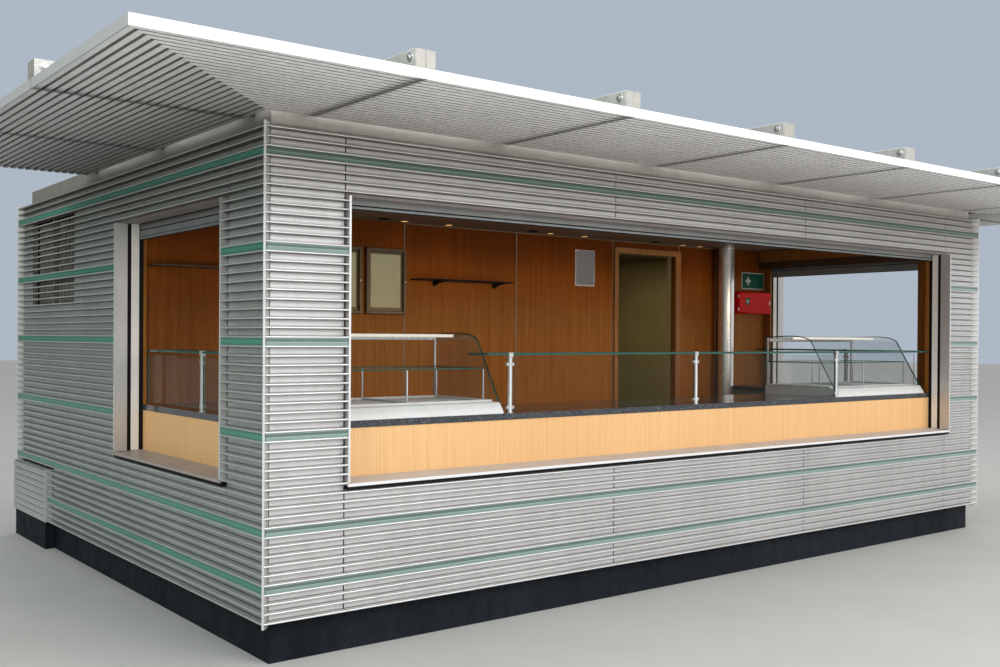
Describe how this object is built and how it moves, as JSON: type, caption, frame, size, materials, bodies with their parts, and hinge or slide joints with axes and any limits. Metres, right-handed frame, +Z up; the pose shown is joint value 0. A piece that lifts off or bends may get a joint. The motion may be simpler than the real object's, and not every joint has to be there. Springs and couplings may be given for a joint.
{
  "type": "street kiosk",
  "caption": "Free-standing serving kiosk clad in horizontal metal fins, with a wide front hatch, side windows, a stone-topped counter and a louvred canopy on three sides.",
  "frame": {"origin": "on the ground, at the middle of the whole outline, canopy included", "axes": "+X along the length, to the right as a customer faces the hatch; -Y towards the customer; +Z up"},
  "size_m": [7.84, 5.014, 2.559],
  "materials": {
    "fin_metal": "satin silver paint on thin fins, brighter on the rounded front edges",
    "band_metal": "smooth bronze-grey satin sheet",
    "canopy_metal": "satin grey slats, dusty on the underside",
    "arm_metal": "satin grey box section",
    "plinth_metal": "dark blue-grey matte sheet, scuffed",
    "strip_glass": "pale green glass, frosted behind",
    "wall_veneer": "orange-brown veneer, satin",
    "beech": "light beech laminate with fine straight grain",
    "floor_vinyl": "dark non-slip sheet floor",
    "ceiling_board": "dark brown board",
    "roof_sheet": "grey roofing membrane",
    "shutter_metal": "grey slatted shutter",
    "guide_metal": "off-white coated guide rail",
    "ledge_metal": "brushed sheet, lightly worn",
    "cabinet_panel": "pale grey cabinet panel",
    "granite": "dark speckled polished stone",
    "post_steel": "satin stainless steel",
    "clear_glass": "clear glass with green edges",
    "column_metal": "satin light grey paint",
    "fitting_paint": "brown frames, a pale board, a green sign and a red cabinet",
    "shelf_black": "matte black"
  },
  "bodies": {
    "root": {"plinth": "plinth_metal", "floor": "floor_vinyl", "front_apron_wall": "wall_veneer", "front_left_corner_wall": "wall_veneer", "front_right_corner_wall": "wall_veneer", "front_lintel": "wall_veneer", "left_apron_wall": "wall_veneer", "left_lintel": "wall_veneer", "left_rear_wall": "wall_veneer", "right_apron_wall": "wall_veneer", "right_lintel": "wall_veneer", "right_rear_wall": "wall_veneer", "rear_wall_left": "wall_veneer", "rear_wall_right": "wall_veneer", "rear_lintel": "wall_veneer", "rear_door": "fin_metal", "partition_left": "wall_veneer", "partition_right": "wall_veneer", "partition_lintel": "wall_veneer", "doorway_frame": "beech", "ceiling": "ceiling_board", "roof_deck": "roof_sheet", "roof_edge_band": "band_metal", "front_cladding": "fin_metal", "left_cladding": "fin_metal", "right_cladding": "fin_metal", "rear_cladding": "fin_metal", "corner_blades": "fin_metal", "glass_strips": "strip_glass", "canopy_front": "canopy_metal", "canopy_left": "canopy_metal", "canopy_right": "canopy_metal", "canopy_arms": "arm_metal", "roller_shutters": "shutter_metal", "shutter_guides": "guide_metal", "ledges": "ledge_metal", "counter_front": "beech", "counter_base": "cabinet_panel", "worktop": "granite", "wall_linings": "wall_veneer", "wall_fittings": "fitting_paint", "guard_posts": "post_steel", "guard_glass": "clear_glass", "display_case_left": "clear_glass", "display_case_right": "clear_glass", "steel_column": "column_metal", "wall_shelf": "shelf_black", "service_box": "fin_metal"}
  },
  "joints": []
}
